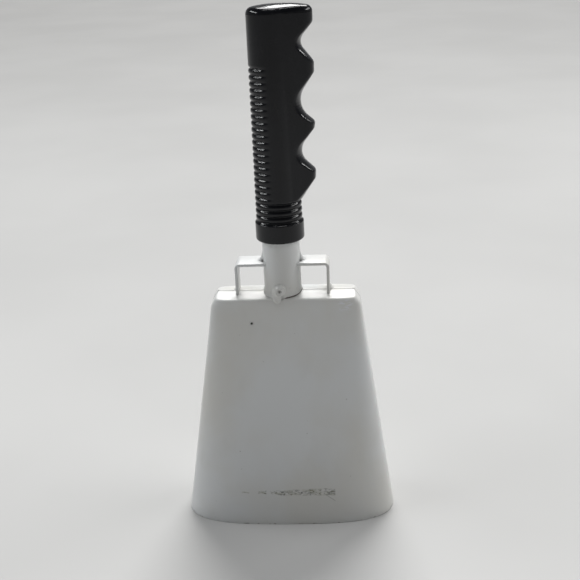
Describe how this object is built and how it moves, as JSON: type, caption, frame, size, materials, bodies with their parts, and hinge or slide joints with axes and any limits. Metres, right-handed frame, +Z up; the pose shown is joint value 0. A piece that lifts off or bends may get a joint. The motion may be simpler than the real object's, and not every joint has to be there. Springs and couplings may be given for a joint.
{
  "type": "cowbell",
  "caption": "Handled steel cowbell with a flared oblong mouth, bent carry straps, a tube handle with a finger-grooved grip, and a hanging ball clapper inside.",
  "frame": {"origin": "centre of the mouth's plane, on the surface that the bell stands on", "axes": "+Z up along the handle, +X towards the side that the finger grooves face, -Y towards the front, where the ring-shaped tack weld is"},
  "size_m": [0.1136, 0.0522, 0.27],
  "materials": {
    "painted_steel": "semi-gloss white paint, lightly scuffed",
    "painted_weld": "white paint over a rippled weld bead",
    "painted_wire": "thin white paint over wire",
    "moulded_vinyl": "glossy black moulding",
    "plated_wire": "dull zinc plate",
    "ball_steel": "tumbled steel with strike marks"
  },
  "bodies": {
    "bell": {"front_shell": "painted_steel", "rear_shell": "painted_steel", "left_seam_weld": "painted_weld", "right_seam_weld": "painted_weld", "left_crown_weld": "painted_weld", "right_crown_weld": "painted_weld", "left_strap": "painted_steel", "right_strap": "painted_steel", "left_strap_foot_weld": "painted_weld", "right_strap_foot_weld": "painted_weld", "left_strap_top_weld": "painted_weld", "right_strap_top_weld": "painted_weld", "handle_tube": "painted_steel", "front_tube_weld": "painted_weld", "rear_tube_weld": "painted_weld", "grip": "moulded_vinyl", "clapper_hanger": "painted_wire", "left_hanger_weld": "painted_weld", "right_hanger_weld": "painted_weld"},
    "link": {"clapper_link": "plated_wire"},
    "clapper": {"clapper_rod": "plated_wire", "clapper_ball": "ball_steel"}
  },
  "joints": [
    {"name": "link_swing", "type": "hinge", "parent": "bell", "child": "link", "pos_m": [0, 0, 0.117], "axis": [1, 0, 0], "range_deg": [-7.5, 7.5]},
    {"name": "clapper_swing", "type": "hinge", "parent": "link", "child": "clapper", "pos_m": [0, 0, 0.10925], "axis": [0, 1, 0], "range_deg": [-20, 20]}
  ]
}
